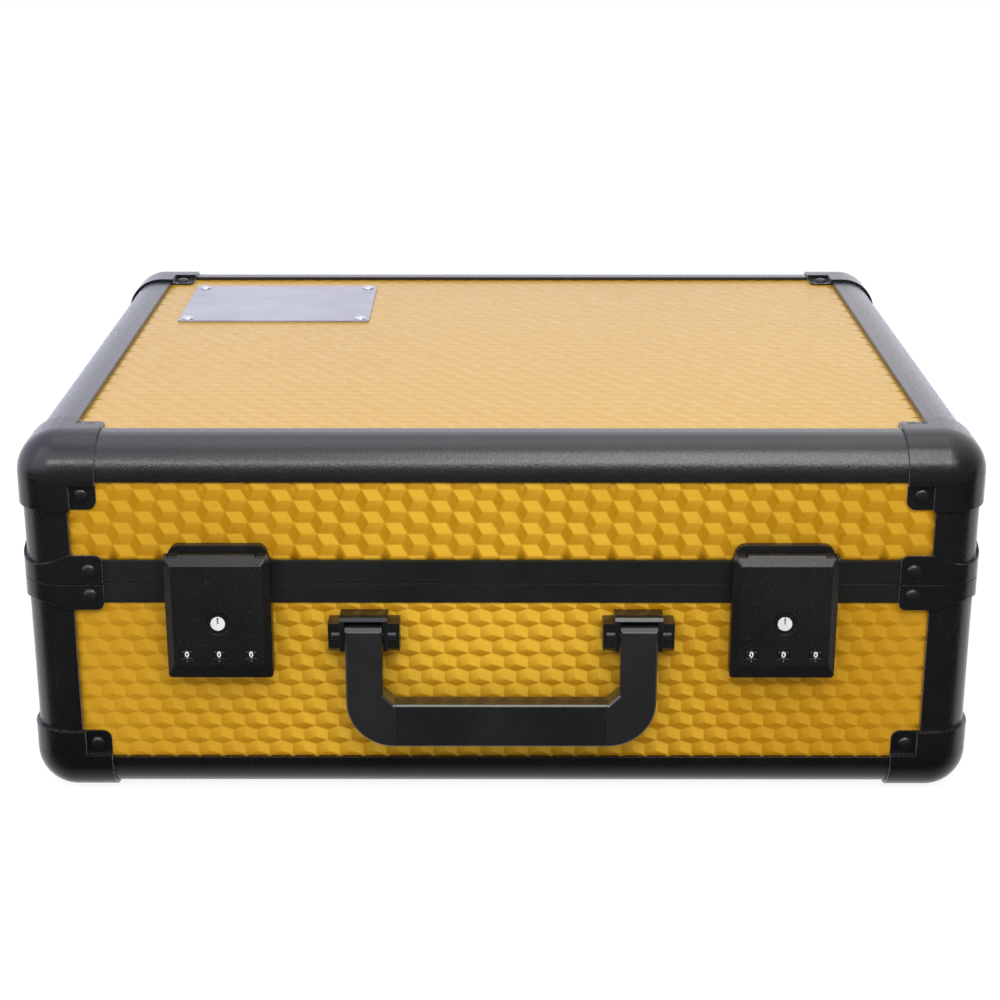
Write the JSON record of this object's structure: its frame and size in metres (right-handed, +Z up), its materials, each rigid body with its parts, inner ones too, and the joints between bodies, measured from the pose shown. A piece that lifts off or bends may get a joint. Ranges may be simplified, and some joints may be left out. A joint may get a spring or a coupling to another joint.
{
  "type": "graded card case",
  "caption": "Hinged hard case with rounded edge rails, ball corners, combination latches, drop handle, folding lid stays and foam rows.",
  "frame": {"origin": "centre of the case's footprint, on the surface it stands on", "axes": "+Z up, the latches and the handle face -Y, X runs along the width"},
  "size_m": [0.4584, 0.3866, 0.182],
  "materials": {
    "gold_panel": "embossed gold laminate",
    "edge_rail": "black powder coat",
    "corner_steel": "black satin enamel",
    "rivet_black": "black satin",
    "hinge_steel": "black satin",
    "pin_steel": "plain",
    "foot_rubber": "matt",
    "handle_plastic": "semi-gloss",
    "latch_metal": "black satin",
    "stay_steel": "zinc plated",
    "foam_black": "closed-cell foam",
    "badge_sheet": "dark grey satin",
    "screw_steel": "bright",
    "key_plug": "satin silver",
    "dial_plastic": "black with white figures"
  },
  "bodies": {
    "base": {"base_floor_panel": "gold_panel", "base_front_panel": "gold_panel", "base_back_panel": "gold_panel", "base_side_panels": "gold_panel", "base_bottom_rails": "edge_rail", "base_corner_posts": "edge_rail", "base_seam_frame": "edge_rail", "base_ball_corners": "corner_steel", "base_corner_wraps": "corner_steel", "base_rivets": "rivet_black", "hinge_base_leaves": "hinge_steel", "hinge_pins": "pin_steel", "base_rear_feet": "foot_rubber", "handle_brackets": "handle_plastic", "handle_pins": "pin_steel", "latch_keepers": "latch_metal", "stay_base_brackets": "stay_steel", "foam_floor_pad": "foam_black", "foam_row_walls": "foam_black", "foam_end_walls": "foam_black"},
    "lid": {"lid_top_panel": "gold_panel", "lid_front_panel": "gold_panel", "lid_back_panel": "gold_panel", "lid_side_panels": "gold_panel", "lid_top_rails": "edge_rail", "lid_corner_posts": "edge_rail", "lid_seam_frame": "edge_rail", "lid_ball_corners": "corner_steel", "lid_corner_wraps": "corner_steel", "lid_rivets": "rivet_black", "badge_plate": "badge_sheet", "badge_screws": "screw_steel", "hinge_lid_leaves": "hinge_steel", "lid_rear_feet": "foot_rubber", "latch_lid_mounts": "latch_metal", "latch_hinge_pins": "pin_steel", "stay_lid_brackets": "stay_steel", "lid_foam_pad": "foam_black", "lid_foam_border": "foam_black"},
    "handle": {"handle_arms": "handle_plastic", "handle_grip": "handle_plastic"},
    "left_flap": {"left_latch_flap": "latch_metal", "left_dial_axle": "pin_steel"},
    "left_key": {"left_key_cylinder": "key_plug"},
    "left_dial_1": {"left_dial_1": "dial_plastic"},
    "left_dial_2": {"left_dial_2": "dial_plastic"},
    "left_dial_3": {"left_dial_3": "dial_plastic"},
    "right_flap": {"right_latch_flap": "latch_metal", "right_dial_axle": "pin_steel"},
    "right_key": {"right_key_cylinder": "key_plug"},
    "right_dial_1": {"right_dial_1": "dial_plastic"},
    "right_dial_2": {"right_dial_2": "dial_plastic"},
    "right_dial_3": {"right_dial_3": "dial_plastic"},
    "left_stay_lower": {"left_stay_lower_link": "stay_steel"},
    "left_stay_upper": {"left_stay_upper_link": "stay_steel"},
    "right_stay_lower": {"right_stay_lower_link": "stay_steel"},
    "right_stay_upper": {"right_stay_upper_link": "stay_steel"}
  },
  "joints": [
    {"name": "lid_hinge", "type": "hinge", "parent": "base", "child": "lid", "pos_m": [0, 0.1885, 0.1109], "axis": [-1, 0, 0], "range_deg": [0, 95]},
    {"name": "handle_swing", "type": "hinge", "parent": "base", "child": "handle", "pos_m": [0, -0.1875, 0.0881], "axis": [-1, 0, 0], "range_deg": [0, 95]},
    {"name": "left_latch_flap_hinge", "type": "hinge", "parent": "lid", "child": "left_flap", "pos_m": [-0.1327, -0.1859, 0.1249], "axis": [-1, 0, 0], "range_deg": [0, 110]},
    {"name": "left_key_turn", "type": "hinge", "parent": "left_flap", "child": "left_key", "pos_m": [-0.1327, -0.1823, 0.0953], "axis": [0, 1, 0], "range_deg": [0, 90]},
    {"name": "left_dial_1_turn", "type": "hinge", "parent": "left_flap", "child": "left_dial_1", "pos_m": [-0.1478, -0.1866, 0.0799], "axis": [1, 0, 0], "continuous": true},
    {"name": "left_dial_2_turn", "type": "hinge", "parent": "left_flap", "child": "left_dial_2", "pos_m": [-0.1327, -0.1866, 0.0799], "axis": [1, 0, 0], "continuous": true},
    {"name": "left_dial_3_turn", "type": "hinge", "parent": "left_flap", "child": "left_dial_3", "pos_m": [-0.1176, -0.1866, 0.0799], "axis": [1, 0, 0], "continuous": true},
    {"name": "right_latch_flap_hinge", "type": "hinge", "parent": "lid", "child": "right_flap", "pos_m": [0.1327, -0.1859, 0.1249], "axis": [-1, 0, 0], "range_deg": [0, 110]},
    {"name": "right_key_turn", "type": "hinge", "parent": "right_flap", "child": "right_key", "pos_m": [0.1327, -0.1823, 0.0953], "axis": [0, 1, 0], "range_deg": [0, 90]},
    {"name": "right_dial_1_turn", "type": "hinge", "parent": "right_flap", "child": "right_dial_1", "pos_m": [0.1176, -0.1866, 0.0799], "axis": [1, 0, 0], "continuous": true},
    {"name": "right_dial_2_turn", "type": "hinge", "parent": "right_flap", "child": "right_dial_2", "pos_m": [0.1327, -0.1866, 0.0799], "axis": [1, 0, 0], "continuous": true},
    {"name": "right_dial_3_turn", "type": "hinge", "parent": "right_flap", "child": "right_dial_3", "pos_m": [0.1478, -0.1866, 0.0799], "axis": [1, 0, 0], "continuous": true},
    {"name": "left_stay_lower_turn", "type": "hinge", "parent": "base", "child": "left_stay_lower", "pos_m": [-0.2168, 0.1285, 0.0809], "axis": [-1, 0, 0], "range_deg": [0, 95]},
    {"name": "left_stay_knee", "type": "hinge", "parent": "left_stay_lower", "child": "left_stay_upper", "pos_m": [-0.2168, 0.0785, 0.1009], "axis": [-1, 0, 0], "range_deg": [-95, 0]},
    {"name": "right_stay_lower_turn", "type": "hinge", "parent": "base", "child": "right_stay_lower", "pos_m": [0.2168, 0.1285, 0.0809], "axis": [-1, 0, 0], "range_deg": [0, 95]},
    {"name": "right_stay_knee", "type": "hinge", "parent": "right_stay_lower", "child": "right_stay_upper", "pos_m": [0.2168, 0.0785, 0.1009], "axis": [-1, 0, 0], "range_deg": [-95, 0]}
  ],
  "couplings": [
    {"joint": "left_stay_lower_turn", "follows": "lid_hinge", "ratio": 1},
    {"joint": "left_stay_knee", "follows": "lid_hinge", "ratio": -1},
    {"joint": "right_stay_lower_turn", "follows": "lid_hinge", "ratio": 1},
    {"joint": "right_stay_knee", "follows": "lid_hinge", "ratio": -1}
  ]
}
